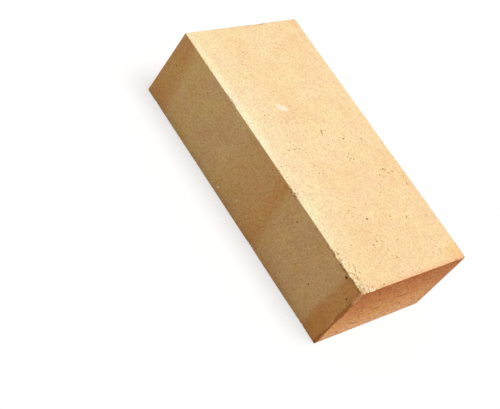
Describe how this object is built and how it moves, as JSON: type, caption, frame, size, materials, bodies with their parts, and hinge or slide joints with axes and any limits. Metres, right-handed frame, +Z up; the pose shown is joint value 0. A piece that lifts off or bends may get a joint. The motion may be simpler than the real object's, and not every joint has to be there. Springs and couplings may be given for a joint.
{
  "type": "acid proof brick",
  "caption": "Solid rectangular acid-proof brick with plain flat faces, nearly sharp arrises and a chipped corner, for lining floors, drains and tanks against acid.",
  "frame": {"origin": "middle of the lower bed, the face that the brick lies on", "axes": "+X along the length towards the header by the worn corner, +Y across the width towards the rear stretcher, +Z up out of the upper bed"},
  "size_m": [0.23, 0.115, 0.063],
  "materials": {
    "fired_clay": "matte"
  },
  "bodies": {
    "root": {"brick": "fired_clay"}
  },
  "joints": []
}
